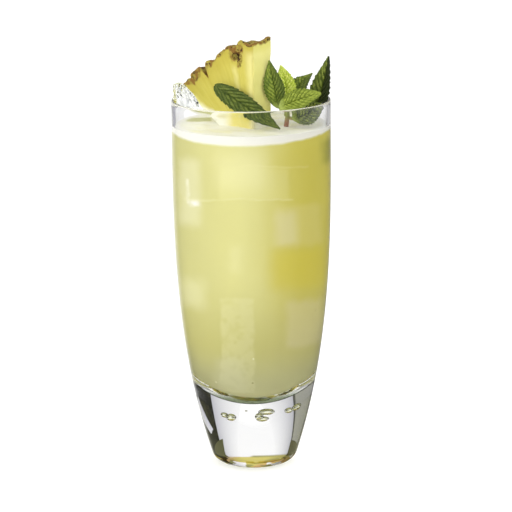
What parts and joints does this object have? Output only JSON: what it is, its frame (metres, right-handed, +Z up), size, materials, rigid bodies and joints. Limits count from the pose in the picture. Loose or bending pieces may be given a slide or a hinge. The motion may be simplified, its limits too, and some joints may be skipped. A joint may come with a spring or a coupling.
{
  "type": "filled cocktail glass",
  "caption": "Pisco punch in a tall glass with a heavy clear base: cloudy yellow drink under cream foam, with a pineapple wedge, a mint sprig and clear ice at the rim.",
  "frame": {"origin": "middle of the glass's flat foot, on the surface it stands on", "axes": "+Z up along the glass's axis; -Y towards the side the drink is seen from, with the mint on the +X side"},
  "size_m": [0.0716, 0.0716, 0.196],
  "materials": {
    "clear_glass": "clear polished glass",
    "cloudy_drink": "cloudy pale yellow liquid",
    "cream_foam": "fine cream foam",
    "pineapple": "moist yellow flesh with a brown rind",
    "clear_ice": "clear wet ice",
    "mint_stem": "smooth pinkish brown stem",
    "mint_leaf": "veined green leaf with a soft shine"
  },
  "bodies": {
    "root": {"glass": "clear_glass", "drink": "cloudy_drink", "foam": "cream_foam", "pineapple_wedge": "pineapple", "ice_chunk": "clear_ice", "mint_stem": "mint_stem", "mint_leaf_left": "mint_leaf", "mint_leaf_middle": "mint_leaf", "mint_leaf_back": "mint_leaf", "mint_leaf_right": "mint_leaf", "mint_leaf_front": "mint_leaf", "mint_leaf_low": "mint_leaf", "mint_leaf_across": "mint_leaf"}
  },
  "joints": []
}
